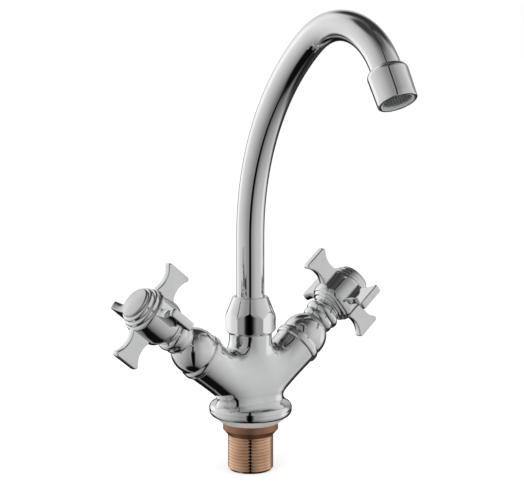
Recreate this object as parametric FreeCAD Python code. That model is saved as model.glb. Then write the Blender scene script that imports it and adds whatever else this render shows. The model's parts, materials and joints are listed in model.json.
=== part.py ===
"""Two-handle single-hole kitchen mixer tap, in millimetres.

Frame: the origin is the centre of the tap hole on the deck surface. +Z is up, the spout
points to -Y, the hot valve leans out to -X and the cold valve to +X.
"""
import FreeCAD
import Part

import math
import os

from FreeCAD import Vector

# ---------------------------------------------------------------- driving dimensions
RUN = 0.05                  # radial running clearance of turning fits
FIXED = 0.03                # radial clearance of pieces that are screwed or pressed together

SPIGOT_R = 17.0             # locating spigot, for a 35 mm tap hole
SPIGOT_DEPTH = 5.0          # straight part of the spigot under the deck surface
SPIGOT_RELIEF = 0.3         # the shank is thinner by this above the deck, inside the gasket
SHANK_R = 14.0              # M28 x 2 shank
SHANK_TOP_Z = -8.0
SHANK_END_Z = -30.0
HOSE_THREAD_R = 4.5         # M10 x 1 hose sockets, at the thread's minor radius
HOSE_THREAD_LENGTH = 14.0
HOSE_OFFSET = 6.3
WATERWAY_R = 3.2

GASKET_H = 4.4              # deck surface to the flange's underside
GASKET_BASE_R = 18.0
FLANGE_R = 25.3             # widest radius of the base flange
FLANGE_TOP_Z = 13.6
BOSS_R = 14.2               # body's boss inside the flange
FOOT_R = 23.8               # how far out the body's foot reaches on the flange
CAST_FILLET = 3.0           # between the neck and the arms

NECK_R = 13.1
NECK_TOP_Z = 55.0
NECK_THREAD_R = 12.0        # M24 x 1 under the spout nut
NECK_THREAD_TOP_Z = 65.0
NECK_BORE_R = 9.6
NECK_FLOOR_Z = 46.5

NUT_TOP_Z = 78.0
NUT_FLATS = 27.0
NUT_TURN = -35.0            # one corner of the nut, in degrees from +X

TUBE_R = 8.5
TUBE_WALL = 1.2
TUBE_START_Z = 62.0
BEND_START_Z = 114.9
LONG_BEND_R = 144.0
LONG_BEND_TURN = 54.0
TOP_BEND_R = 44.7
OUTLET_TILT = 150.4         # turned angle of the spout at its outlet, from straight up
OUTLET_RUN = 21.0           # straight end of the spout that carries the aerator

VALVE_TILT = 39.6           # valve axes above the horizontal
VALVE_ORIGIN_Z = 15.1       # where both valve axes meet the tap's own axis
ARM_END = 44.0              # distances along the valve axis, from that meeting point
ARM_TAIL = 23.0             # how far each arm runs on past it, down to the flange
ARM_R = 13.2
ARM_END_R = 13.8
SEAT_FLOOR = 26.0
CHAMBER_R = 10.0
BONNET_THREAD_R = 9.5
SHROUD_TOP = 64.6
BONNET_TOP = 74.4
BONNET_R = 8.2
HUB_BOTTOM = 76.0
HUB_TOP = 98.6
HUB_R = 14.4
CAP_TOP = 107.2
FIN_CENTRE = 91.2
FIN_TIP_R = 32.2
FIN_THICKNESS = 5.2
FIN_TIP_HALF = 8.8          # half of the fin's length along the axis, at the tip
FIN_WAIST_HALF = 5.0
FIN_ROOT_HALF = 6.8
HOT_FINS_TURN = 5.3         # how the cross handles sit on their splines, in degrees
COLD_FINS_TURN = -4.0

SPINDLE_R = 5.0
SPLINE_R = 4.3
DISC_R = 7.9

ORIGIN = Vector(0, 0, 0)
UP = Vector(0, 0, 1)
SIDES = (("hot", -1, HOT_FINS_TURN), ("cold", 1, COLD_FINS_TURN))


# ---------------------------------------------------------------- drawing helpers
def outline(start, *steps):
    """Closed face in the XZ plane. A step (x, z) is a line to that point, and a step
    ((x, z), (x, z)) is an arc through the first point to the second."""
    def place(point):
        return Vector(point[0], 0, point[1])

    edges = []
    here = place(start)
    for step in steps:
        if isinstance(step[0], tuple):
            there = place(step[1])
            edges.append(Part.Arc(here, place(step[0]), there).toShape())
        else:
            there = place(step)
            edges.append(Part.LineSegment(here, there).toShape())
        here = there
    edges.append(Part.LineSegment(here, place(start)).toShape())
    return Part.Face(Part.Wire(edges))


def turned(start, *steps):
    """Solid of revolution about Z from an outline given as (radius, height) steps."""
    return outline(start, *steps).revolve(ORIGIN, UP, 360)


def rod(radius, low, high):
    return Part.makeCylinder(radius, high - low, Vector(0, 0, low), UP)


def ring(inner, outer, low, high):
    return rod(outer, low, high).cut(rod(inner, low - 1, high + 1))


def o_ring(centre_r, section_r, height):
    return Part.makeTorus(centre_r, section_r, Vector(0, 0, height), UP)


def drilling(radius, start, end):
    """Straight bore between two points."""
    run = end.sub(start)
    return Part.makeCylinder(radius, run.Length, start, run)


def hexagon(flats, low, high, turn):
    """Hexagonal bar with one corner turned to the given angle."""
    corner_r = flats / math.sqrt(3)
    corners = []
    for count in range(7):
        angle = math.radians(turn + 60 * count)
        corners.append(Vector(corner_r * math.cos(angle), corner_r * math.sin(angle), low))
    face = Part.Face(Part.makePolygon(corners))
    return face.extrude(Vector(0, 0, high - low))


def on_valve(shape, side):
    """Stands a shape drawn along Z on the valve axis of one side."""
    placed = shape.copy()
    placed.rotate(ORIGIN, Vector(0, 1, 0), side * (90 - VALVE_TILT))
    placed.translate(Vector(0, 0, VALVE_ORIGIN_Z))
    return placed


def valve_point(side, distance):
    """Point on one side's valve axis."""
    tilt = math.radians(VALVE_TILT)
    return Vector(side * distance * math.cos(tilt), 0, VALVE_ORIGIN_Z + distance * math.sin(tilt))


def save(name, shape):
    """Writes one node. A node of one piece must come out as one valid solid."""
    shape = shape.removeSplitter()
    if len(shape.Solids) == 1:
        shape = shape.Solids[0]
    print(name, "solids", len(shape.Solids), "valid", shape.isValid(), "mm3", round(shape.Volume, 1))
    shape.exportStep("parts/" + name + ".step")


# ---------------------------------------------------------------- base
def base_gasket():
    """Soft ring between the flange and the deck, bevelled in towards the spigot."""
    inner = SPIGOT_R + FIXED
    return turned((inner, 0), (GASKET_BASE_R, 0), (22.6, GASKET_H - 0.6), (22.6, GASKET_H),
                  (inner, GASKET_H))


def base_flange():
    """Round base flange: a domed top, a full edge and a flat underside."""
    return flange_blank().cut(rod(BOSS_R + FIXED, GASKET_H - 1, FLANGE_TOP_Z + 1))


def flange_blank():
    return turned((0, GASKET_H), (23.7, GASKET_H), ((24.9, 5.7), (FLANGE_R, 8.2)),
                  ((25.2, 10.4), (24.4, 11.6)), ((21.0, 12.9), (BOSS_R, FLANGE_TOP_Z)), (0, FLANGE_TOP_Z))


def threaded_shank():
    """Brass shank: a boss screwed into the body, the locating spigot and the M28 thread."""
    boss_r = 12.9
    seat_r = SPIGOT_R - SPIGOT_RELIEF
    shank = turned((0, SHANK_END_Z), (SHANK_R - 1.4, SHANK_END_Z), (SHANK_R, SHANK_END_Z + 1.6),
                   (SHANK_R, SHANK_TOP_Z), (SPIGOT_R - 1.4, -SPIGOT_DEPTH - 1.0),
                   (SPIGOT_R, -SPIGOT_DEPTH + 0.6), (SPIGOT_R, 0), (seat_r, 0), (seat_r, GASKET_H),
                   (boss_r, GASKET_H), (boss_r, 12.0), (0, 12.0))
    for side in (-1, 1):
        foot = Vector(side * HOSE_OFFSET, 0, SHANK_END_Z)
        shank = shank.cut(Part.makeCylinder(HOSE_THREAD_R, HOSE_THREAD_LENGTH, foot, UP))
        shank = shank.cut(Part.makeCylinder(WATERWAY_R, 60, foot, UP))
    return shank


# ---------------------------------------------------------------- mixer body
def body_outside():
    """Cast body: a round neck and two valve arms of one width, which cross on the flange."""
    boss = rod(BOSS_R, GASKET_H, FLANGE_TOP_Z)
    neck = turned((0, GASKET_H), (NECK_R, GASKET_H), (NECK_R, NECK_TOP_Z - 0.5),
                  (NECK_R - 0.5, NECK_TOP_Z), (0, NECK_TOP_Z))
    neck.rotate(ORIGIN, UP, 90)
    arm = turned((0, -ARM_TAIL), (ARM_R, -ARM_TAIL), (ARM_R, 28), (ARM_END_R, ARM_END - 1),
                 (ARM_END_R - 0.4, ARM_END), (0, ARM_END))
    below = Part.makeBox(120, 60, 60, Vector(-60, -30, FLANGE_TOP_Z - 62.2))
    arms = on_valve(arm, -1).fuse(on_valve(arm, 1)).cut(below).cut(flange_blank())
    arms = arms.cut(ring(FOOT_R, 60, FLANGE_TOP_Z - 5, VALVE_ORIGIN_Z - 1))
    body = neck.fuse(arms).removeSplitter()
    body = body.makeFillet(CAST_FILLET, [edge for edge in body.Edges if is_crotch(edge)])
    return body.fuse(boss)


def is_crotch(edge):
    """True for the seams where the arms leave the core, above the foot."""
    box = edge.BoundBox
    is_seam = isinstance(edge.Curve, Part.BSplineCurve)
    return is_seam and box.ZMin > 16.5 and box.ZMax < NECK_TOP_Z - 5


def mixer_body():
    """Body casting with its neck thread, valve bores and waterways."""
    neck_thread = rod(NECK_THREAD_R, NECK_TOP_Z - 1, NECK_THREAD_TOP_Z)
    body = body_outside().fuse(neck_thread)
    body = body.cut(rod(NECK_BORE_R, NECK_FLOOR_Z, NECK_THREAD_TOP_Z + 1))
    body = body.cut(rod(12.9 + FIXED, GASKET_H - 1, 12.4))
    bore = rod(BONNET_THREAD_R, SEAT_FLOOR, ARM_END + 1)
    chamber = rod(CHAMBER_R, SEAT_FLOOR + 5, ARM_END - 5)
    for side in (-1, 1):
        body = body.cut(on_valve(bore.fuse(chamber), side))
        feed = drilling(WATERWAY_R, Vector(side * HOSE_OFFSET, 0, 11.0), valve_point(side, SEAT_FLOOR + 1))
        mixed = drilling(2.8, Vector(0, 0, NECK_FLOOR_Z + 2.5), valve_point(side, SEAT_FLOOR + 9))
        body = body.cut(feed).cut(mixed)
    return body


# ---------------------------------------------------------------- spout and its nut
def spout_nut():
    """Hexagonal nut with a long cone up to the tube."""
    outside = turned((0, NECK_TOP_Z + 0.4), (13.4, NECK_TOP_Z + 0.4), (15.7, NECK_TOP_Z + 2.8),
                     (15.7, 65.4), (10.9, NUT_TOP_Z - 0.6), ((10.7, NUT_TOP_Z - 0.15), (10.2, NUT_TOP_Z)),
                     (0, NUT_TOP_Z))
    nut = outside.common(hexagon(NUT_FLATS, NECK_TOP_Z, NUT_TOP_Z + 1, NUT_TURN))
    nut = nut.cut(rod(NECK_THREAD_R + FIXED, NECK_TOP_Z, 69.6))
    return nut.cut(rod(TUBE_R + 0.3, 69, NUT_TOP_Z + 1))


def slip_ring():
    """Plastic ring that the spout's collar turns under."""
    return ring(TUBE_R + 0.3, 11.8, 67.6, 69.5)


def spout_bush():
    """Brass bush brazed on the tube: a collar on the neck and two O-ring grooves below."""
    bush = turned((6.4, 48.5), (9.2, 48.5), (9.55, 48.9), (9.55, NECK_THREAD_TOP_Z + 0.2),
                  (11.7, NECK_THREAD_TOP_Z + 0.2), (11.7, 67.4), (TUBE_R + FIXED, 67.4),
                  (TUBE_R + FIXED, TUBE_START_Z - 0.1), (6.4, TUBE_START_Z - 0.1))
    for height in (52.5, 57.5):
        bush = bush.cut(ring(7.7, 12, height - 1.05, height + 1.05))
    return bush


def spout_o_ring(height):
    return o_ring(8.63, 0.9, height)


def spout_route():
    """Centre line of the swan neck: up, one long lean, the top bend and the outlet run."""
    lean = math.radians(LONG_BEND_TURN)
    tilt = math.radians(OUTLET_TILT)

    def bend(centre_y, centre_z, radius, angle):
        return Vector(0, centre_y + radius * math.cos(angle), centre_z + radius * math.sin(angle))

    first_y = -LONG_BEND_R
    start = Vector(0, 0, BEND_START_Z)
    middle = bend(first_y, BEND_START_Z, LONG_BEND_R, lean / 2)
    knee = bend(first_y, BEND_START_Z, LONG_BEND_R, lean)
    second = bend(first_y, BEND_START_Z, LONG_BEND_R - TOP_BEND_R, lean)
    crown = bend(second.y, second.z, TOP_BEND_R, (lean + tilt) / 2)
    drop = bend(second.y, second.z, TOP_BEND_R, tilt)
    heading = Vector(0, -math.sin(tilt), math.cos(tilt))
    outlet = drop.add(heading * OUTLET_RUN)
    return start, middle, knee, crown, drop, outlet, heading


def on_outlet(shape):
    """Stands a shape drawn along Z on the outlet, its height counted back up the tube."""
    outlet, heading = spout_route()[5:7]
    placed = shape.copy()
    placed.rotate(ORIGIN, Vector(1, 0, 0), OUTLET_TILT - 180)
    placed.translate(outlet)
    return placed


def swept(radius, route):
    start = Vector(0, 0, TUBE_START_Z)
    section = Part.Wire(Part.Circle(start, UP, radius).toShape())
    return route.makePipeShell([section], True, False)


def spout_tube():
    """Bent tube from the nut to just inside the aerator."""
    start, middle, knee, crown, drop, outlet, heading = spout_route()
    end = outlet.sub(heading * 9.0)
    route = Part.Wire([
        Part.LineSegment(Vector(0, 0, TUBE_START_Z), start).toShape(),
        Part.Arc(start, middle, knee).toShape(),
        Part.Arc(knee, crown, drop).toShape(),
        Part.LineSegment(drop, end).toShape(),
    ])
    return swept(TUBE_R, route).cut(swept(TUBE_R - TUBE_WALL, route))


def aerator_adapter():
    """Threaded brass ring brazed on the tube's end."""
    return ring(TUBE_R + FIXED, 9.85, 9.6, 18.6)


def aerator_shell():
    """Chrome shell screwed on the adapter, with a rounded shoulder at the tube."""
    outer = turned((0, 0), (10.6, 0), (10.95, 0.4), (11.35, 16.8), ((10.9, 18.4), (9.3, 20.0)), (0, 20.0))
    return outer.cut(rod(9.3, -1, 1.0)).cut(rod(9.88, 0.9, 18.8)).cut(rod(TUBE_R + 0.15, 18, 21))


def aerator_washer():
    return ring(6.6, 9.7, 7.3, 8.8)


def aerator_insert():
    """Plastic cartridge with a rim at the outlet and flow slots round its top."""
    cup = turned((8.3, 0.5), (9.15, 0.5), (9.15, 1.1), (9.7, 1.1), (9.7, 7.2), (0, 7.2), (0, 5.6),
                 (8.3, 5.6))
    for count in range(8):
        angle = 2 * math.pi * count / 8
        hole = Part.makeCylinder(1.3, 4, Vector(4.6 * math.cos(angle), 4.6 * math.sin(angle), 4.5), UP)
        cup = cup.cut(hole)
    return cup


def aerator_screen():
    """Fine screen across the outlet, a thin disc."""
    return rod(8.25, 1.6, 2.3)


# ---------------------------------------------------------------- valve, drawn along its axis
def valve_shroud():
    """Chrome cover over the headwork: a beaded skirt and a dome down to the neck."""
    outside = turned((0, ARM_END + 0.1), (14.3, ARM_END + 0.1), ((14.75, 44.7), (14.8, 46.2)),
                     ((14.7, 47.9), (14.2, 48.9)), (13.75, 49.6), ((13.2, 58.0), (8.9, 64.2)),
                     (8.5, SHROUD_TOP), (0, SHROUD_TOP))
    inside = turned((0, ARM_END - 1), (13.0, ARM_END - 1), (13.0, 50.6), ((11.6, 58.0), (8.3, 62.4)),
                    (BONNET_R + FIXED, 62.6), (BONNET_R + FIXED, SHROUD_TOP + 1), (0, SHROUD_TOP + 1))
    return outside.cut(inside)


def bonnet():
    """Brass headwork: thread, cage around the discs, spanner hexagon and spindle sleeve."""
    body = turned((0, 29.0), (8.9, 29.0), (8.9, 38.5), (BONNET_THREAD_R - FIXED, 39.0),
                  (BONNET_THREAD_R - FIXED, 45.0), (BONNET_R, 45.0), (BONNET_R, BONNET_TOP - 0.5),
                  (BONNET_R - 0.5, BONNET_TOP), (0, BONNET_TOP))
    body = body.fuse(hexagon(22, 45.0, 49.0, 0))
    body = body.cut(rod(DISC_R + RUN, 28, 39.4))
    body = body.cut(rod(SPINDLE_R + RUN, 39, BONNET_TOP + 1))
    window = Part.makeBox(30, 7, 3.4, Vector(-15, -3.5, 35.7))
    return body.cut(window)


def neck_bead():
    """Chrome double bead around the top of the bonnet."""
    inner = BONNET_R + FIXED
    return turned((inner, 64.8), (9.4, 64.8), ((10.2, 66.9), (9.8, 69.0)), ((11.15, 71.6), (10.3, 74.0)),
                  (9.6, 74.8), (inner, 74.8))


def bonnet_washer():
    return ring(BONNET_THREAD_R, 12.4, ARM_END, 45.0)


def seat_seal():
    """Rubber seal under the fixed disc, with a through way for each disc port."""
    return rod(7.6, SEAT_FLOOR, 30.2).cut(rod(5.6, SEAT_FLOOR - 1, 31))


def disc_port(radius, offset, low, high):
    return Part.makeCylinder(radius, high - low, Vector(0, offset, low), UP)


def fixed_disc():
    """Ceramic seat disc with two ports."""
    disc = rod(DISC_R, 30.2, 33.0)
    for offset in (-3.6, 3.6):
        disc = disc.cut(disc_port(1.9, offset, 30, 34))
    return disc


def moving_disc():
    """Ceramic disc whose two notches meet the ports after a quarter turn."""
    disc = rod(DISC_R - 0.3, 33.02, 35.4)
    for offset in (-1, 1):
        notch = Part.makeBox(5.2, 5.0, 4, Vector(offset * 5.4 - 2.6, -2.5, 32.5))
        disc = disc.cut(notch)
    slot = Part.makeBox(3.2, 20, 1.2, Vector(-1.6, -10, 34.4))
    return disc.cut(slot)


def spindle():
    """Brass spindle: a tang in the disc, a thrust collar, the stem and the splined end."""
    stem = turned((0, 35.5), (7.2, 35.5), (7.2, 38.8), (SPINDLE_R, 38.8), (SPINDLE_R, 60.0 - 0.8),
                  (3.7, 59.2), (3.7, 60.8), (SPINDLE_R, 60.8), (SPINDLE_R, 75.0), (3.9, 75.0),
                  (3.9, 76.0), (SPLINE_R, 76.0), (SPLINE_R, 92.4), (SPLINE_R - 0.6, 93.0), (0, 93.0))
    stem = stem.fuse(Part.makeBox(3.0, 13.0, 1.2, Vector(-1.5, -6.5, 34.5)))
    passage = Part.makeBox(5.0, 20, 4.4, Vector(2.6, -10, 34.4))
    mirror = Part.makeBox(5.0, 20, 4.4, Vector(-7.6, -10, 34.4))
    stem = stem.cut(passage).cut(mirror)
    return stem.cut(rod(2.0 + FIXED, 80.0, 94.0))


def stem_seal():
    return o_ring(4.36, 0.63, 60.0)


def stem_clip():
    """Circlip that holds the spindle in the bonnet."""
    clip = ring(3.95, 6.6, 75.05, 75.85)
    return clip.cut(Part.makeBox(10, 3.2, 2, Vector(2, -1.6, 74.5)))


def fin():
    """One arm of the cross handle: a waisted fin with a wide, rounded tip."""
    waist_r = 21.2
    corner = 1.8
    tip_r = FIN_TIP_R
    shoulder_r = tip_r - corner
    low = FIN_CENTRE - FIN_TIP_HALF
    high = FIN_CENTRE + FIN_TIP_HALF
    slack = corner * (1 - math.sqrt(0.5))
    face = outline(
        (9.0, FIN_CENTRE - FIN_ROOT_HALF), (14.8, FIN_CENTRE - FIN_ROOT_HALF),
        ((waist_r, FIN_CENTRE - FIN_WAIST_HALF), (shoulder_r - 0.4, low + 0.1)),
        ((tip_r - slack, low + slack), (tip_r, low + corner)),
        (tip_r, high - corner),
        ((tip_r - slack, high - slack), (shoulder_r - 0.4, high - 0.1)),
        ((waist_r, FIN_CENTRE + FIN_WAIST_HALF), (14.8, FIN_CENTRE + FIN_ROOT_HALF)),
        (9.0, FIN_CENTRE + FIN_ROOT_HALF))
    face.translate(Vector(0, -FIN_THICKNESS / 2, 0))
    solid = face.extrude(Vector(0, FIN_THICKNESS, 0))
    rounded = [edge for edge in solid.Edges if is_fin_rim(edge)]
    return solid.makeFillet(0.7, rounded)


def is_fin_rim(edge):
    """True for the long edges around a fin's two broad faces, past the root."""
    box = edge.BoundBox
    return box.YLength < 0.01 and box.XMin > 14.0


def cross_handle(turn):
    """Bell-shaped hub with four fins."""
    handle = turned((0, HUB_BOTTOM), (7.2, HUB_BOTTOM), (8.0, 76.5), ((11.4, 79.2), (HUB_R - 0.6, 81.6)),
                    ((HUB_R - 0.1, 82.6), (HUB_R, 84.4)), (HUB_R, 95.6), ((14.1, 97.6), (13.2, HUB_TOP)),
                    (0, HUB_TOP))
    for count in range(4):
        blade = fin()
        blade.rotate(ORIGIN, UP, turn + 90 * count)
        handle = handle.fuse(blade)
    handle = handle.cut(rod(SPLINE_R + FIXED, HUB_BOTTOM - 1, 93.1))
    handle = handle.cut(rod(2.3, 93, 96)).cut(rod(8.6, 94.4, HUB_TOP + 1))
    return handle.removeSplitter()


def handle_screw():
    """Pan-head screw that pulls the handle on to the spindle."""
    screw = turned((0, 84.0), (1.6, 84.0), (2.0, 84.4), (2.0, 94.5), (4.0, 94.5), ((3.6, 96.2), (2.0, 96.9)),
                   (0, 96.9))
    slot = Part.makeBox(1.0, 5.4, 1.4, Vector(-0.5, -2.7, 95.9))
    cross = Part.makeBox(5.4, 1.0, 1.4, Vector(-2.7, -0.5, 95.9))
    return screw.cut(slot).cut(cross)


def cap_ring():
    """Chrome collar on the hub, two steps that frame the cap."""
    return turned((8.55, 96.0), (8.55, 104.2), (9.8, 104.2), ((10.9, 103.9), (11.4, 102.9)),
                  (11.4, 101.4), ((12.5, 101.0), (12.9, 99.9)), (12.9, HUB_TOP), (8.56, HUB_TOP))


def index_cap():
    """Domed cap pressed in the collar, its face left plain."""
    rim_r = 9.75
    dome_r = 21.0

    def dome_height(radius):
        return CAP_TOP - dome_r + math.sqrt(dome_r ** 2 - radius ** 2)

    return turned((0, 98.0), (6.6, 98.0), (6.6, 102.0), (8.5, 102.0), (8.5, 104.25), (rim_r, 104.25),
                  (rim_r, dome_height(rim_r)), ((rim_r / 2, dome_height(rim_r / 2)), (0, CAP_TOP)))


def valve_nodes(name, side, turn):
    """Every node of one valve, in place."""
    return {
        name + "_bonnet": on_valve(bonnet(), side),
        name + "_valve_shroud": on_valve(valve_shroud(), side),
        name + "_neck_bead": on_valve(neck_bead(), side),
        name + "_bonnet_washer": on_valve(bonnet_washer(), side),
        name + "_seat_seal": on_valve(seat_seal(), side),
        name + "_fixed_disc": on_valve(fixed_disc(), side),
        name + "_moving_disc": on_valve(moving_disc(), side),
        name + "_spindle": on_valve(spindle(), side),
        name + "_stem_seal": on_valve(stem_seal(), side),
        name + "_stem_clip": on_valve(stem_clip(), side),
        name + "_cross_handle": on_valve(cross_handle(turn), side),
        name + "_handle_screw": on_valve(handle_screw(), side),
        name + "_cap_ring": on_valve(cap_ring(), side),
        name + "_index_cap": on_valve(index_cap(), side),
    }


def spout_nodes():
    """Every node of the swivel spout, in place."""
    return {
        "spout_tube": spout_tube(),
        "spout_bush": spout_bush(),
        "lower_spout_o_ring": spout_o_ring(52.5),
        "upper_spout_o_ring": spout_o_ring(57.5),
        "aerator_adapter": on_outlet(aerator_adapter()),
        "aerator_shell": on_outlet(aerator_shell()),
        "aerator_washer": on_outlet(aerator_washer()),
        "aerator_insert": on_outlet(aerator_insert()),
        "aerator_screen": on_outlet(aerator_screen()),
    }


def fixed_nodes():
    """The pieces that stand still on the deck."""
    return {
        "mixer_body": mixer_body(),
        "base_flange": base_flange(),
        "base_gasket": base_gasket(),
        "threaded_shank": threaded_shank(),
        "spout_nut": spout_nut(),
        "spout_slip_ring": slip_ring(),
    }


def main():
    os.makedirs("parts", exist_ok=True)
    nodes = fixed_nodes()
    nodes.update(spout_nodes())
    for name, side, turn in SIDES:
        nodes.update(valve_nodes(name, side, turn))
    for name, shape in nodes.items():
        save(name, shape)


main()
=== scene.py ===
"""Looks of the two-handle kitchen mixer tap, in metres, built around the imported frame."""

import json
import math

import bmesh
import bpy
import numpy as np
from mathutils import Matrix, Vector


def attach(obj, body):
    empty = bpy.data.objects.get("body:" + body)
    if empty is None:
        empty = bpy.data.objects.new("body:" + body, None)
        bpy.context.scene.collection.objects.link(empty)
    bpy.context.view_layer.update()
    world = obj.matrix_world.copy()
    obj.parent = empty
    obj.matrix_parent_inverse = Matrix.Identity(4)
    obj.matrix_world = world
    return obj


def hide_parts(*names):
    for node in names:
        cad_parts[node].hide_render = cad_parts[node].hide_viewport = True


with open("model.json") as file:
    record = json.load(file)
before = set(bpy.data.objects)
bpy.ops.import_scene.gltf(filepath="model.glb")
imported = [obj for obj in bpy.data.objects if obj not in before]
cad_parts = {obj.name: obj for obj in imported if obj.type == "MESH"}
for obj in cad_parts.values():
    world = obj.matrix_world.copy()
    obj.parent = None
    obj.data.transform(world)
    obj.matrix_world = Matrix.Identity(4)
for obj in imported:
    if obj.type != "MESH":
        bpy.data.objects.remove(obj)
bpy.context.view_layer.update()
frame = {"nodes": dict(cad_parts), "record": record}

MM = 0.001

# -------------------- dimensions, in millimetres
# Angles are in degrees. Heights named Z are above the deck. The handles' and the arms' ends are
# measured up a valve axis, and the outlet's parts are measured back up the tube from its end.
FIT = 0.03                       # gap between pieces that sit in each other
VALVE_TILT = 39.6                # of each valve axis above the deck
VALVE_ORIGIN_Z = 15.1            # where the two valve axes cross
ARM_END_ALONG = 44.0
HOT_FINS_TURN = 5.3
COLD_FINS_TURN = -4.0

BOSS_R = 14.2                    # of the body's foot inside the flange
NECK_R = 13.1
NECK_TOP_Z = 55.0
ARM_R = 13.2
ARM_END_R = 13.8
ARM_WIDENS = (28.0, 43.0)        # from where to where along the arm
NECK_FOOT = 4.0                  # how far above the crossing the neck starts to give way
CROTCH_BLEND = 7.6
WEB_BLEND = 20.0                 # of the valleys at the sides of the neck
WEB_AT_Y = 11.0                  # how far out they are fullest
NOTCH_BLEND = 7.0                # where the two arms cross
NOTCH_REACH = 12.0               # how far above the crossing it has faded out
NOTCH_FADE = 8.0                 # over what height it fades
BODY_BOX = ((-48, -20, 9), (48, 20, 60))
BODY_PITCH = 0.8

FLANGE_FLOOR_Z = 4.4
FLANGE_TOP_Z = 13.6
SPIGOT_R = 17.0
SHANK_R = 14.0
SHANK_END_Z = -30.0
SHANK_CHAMFER = 1.4
CHAMFER_SLOPE = 0.875            # radius gained per height
THREAD_TOP_Z = -8.3
THREAD_PITCH = 2.0
THREAD_DEPTH = 0.55
THREAD_RUNOUT = 1.2
CAST_FROM_Z = -8.0               # above this the spigot is left as cast
HOSE_R = 4.5
HOSE_OFFSET = 6.3
HOSE_DEPTH = 14.0
WATERWAY_R = 3.2
SHANK_TOP_R = 12.9
SHANK_TOP_Z = 12.0

NUT_FLATS = 28.4                 # across the crowned faces
NUT_CROWN = 38.0                 # radius of each face across the nut
NUT_TURN = -35.0
NUT_BORE_R = 12.03
NUT_LIP_R = 8.8

TUBE_R = 8.5
TUBE_BORE_R = 7.3
TUBE_START_Z = 62.0
TUBE_TUCK = 9.0                  # how far the tube stops short of the outlet's end
BEND_START_Z = 114.9
LONG_BEND_R = 144.0
LONG_BEND_TURN = 54.0
TOP_BEND_R = 44.7
OUTLET_TILT = 150.4              # of the outlet's heading away from straight up
OUTLET_RUN = 21.0
BEND_EASE = 3.0                  # how softly each bend starts and ends
LINE_STEP = 0.05                 # between the points that the bends are added up from

MESH_R = 8.25
MESH_PITCH = 1.15
MESH_WIRE_R = 0.19
MESH_HEIGHT = 1.98
# Black disc behind the outlet's screen: painted shade, standing in for the shade deep in the outlet's cup
SHADE_DISC_R = 8.1
SHADE_DISC_LOW, SHADE_DISC_HIGH = 2.6, 3.3

SPINDLE_HOLE_R = 8.23            # of the bead and the dome around the spindle sleeve
SPLINE_HOLE_R = 4.33
HUB_R = 14.4
HUB_LOW, HUB_TOP = 76.0, 98.6
SCREW_HOLE_R = 2.3
SEAT_R = 8.55                    # of the collar's bore, which the cap sits in
CAP_STEM_R = 6.6
CAP_RIM_R = 9.75

FIN_MID = 91.2                   # height of a fin's middle up the valve axis
FIN_TIP_R = 32.2
FIN_ROOT_R = 10.6
FIN_WAIST_R = 21.2
FIN_NECK_R = 14.8
FIN_TIP_HALF, FIN_WAIST_HALF, FIN_ROOT_HALF = 8.8, 5.4, 6.9
FIN_CORNER = 2.0
FIN_SHOULDER, FIN_FLARE = 0.4, 0.1          # how the waist's arc meets the corner
FIN_TUCK = 2.2                   # rounding of the two corners hidden in the hub
FIN_THICK = 5.2
FIN_CROWN_HALF = 1.95            # half the width of the crowned strip along the edge
FIN_CROWN_TURN = 12              # how far the crown leans at its sides

SIDES = (("hot", -1, HOT_FINS_TURN), ("cold", 1, COLD_FINS_TURN))


# -------------------- profiles and lathes
def arc_points(start, middle, end, pitch):
    """Points after start along the arc through three points."""
    (ax, ay), (bx, by), (cx, cy) = start, middle, end
    d = 2 * (ax * (by - cy) + bx * (cy - ay) + cx * (ay - by))
    a2, b2, c2 = ax * ax + ay * ay, bx * bx + by * by, cx * cx + cy * cy
    ux = (a2 * (by - cy) + b2 * (cy - ay) + c2 * (ay - by)) / d
    uy = (a2 * (cx - bx) + b2 * (ax - cx) + c2 * (bx - ax)) / d
    radius = math.hypot(ax - ux, ay - uy)
    first = math.atan2(ay - uy, ax - ux)
    mid = math.atan2(by - uy, bx - ux)
    last = math.atan2(cy - uy, cx - ux)
    turn = (last - first) % (2 * math.pi)
    if (mid - first) % (2 * math.pi) > turn:
        turn -= 2 * math.pi
    count = max(4, int(abs(turn) * radius / pitch))
    angles = first + turn * np.arange(1, count + 1) / count
    return [(ux + radius * math.cos(a), uy + radius * math.sin(a)) for a in angles]


def flatten(start, steps, pitch=0.04):
    """Dense points along lines and three-point arcs."""
    points = [tuple(start)]
    for step in steps:
        if isinstance(step[0], tuple):
            points += arc_points(points[-1], step[0], step[1], pitch)
        else:
            (x0, y0), (x1, y1) = points[-1], step
            count = max(1, int(math.hypot(x1 - x0, y1 - y0) / pitch))
            points += [(x0 + (x1 - x0) * k / count, y0 + (y1 - y0) * k / count)
                       for k in range(1, count + 1)]
    return np.array(points, float)


def resampled(points, pitch, closed):
    """Outline with its points a pitch apart."""
    loop = np.vstack([points, points[:1]]) if closed else points
    run = np.concatenate([[0], np.cumsum(np.hypot(*np.diff(loop, axis=0).T))])
    keep = np.concatenate([[True], np.diff(run) > 1e-9])
    loop, run = loop[keep], run[keep]
    count = max(8, int(run[-1] / pitch))
    at = np.linspace(0, run[-1], count + 1)
    if closed:
        at = at[:-1]
    return np.column_stack([np.interp(at, run, loop[:, 0]), np.interp(at, run, loop[:, 1])])


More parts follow.
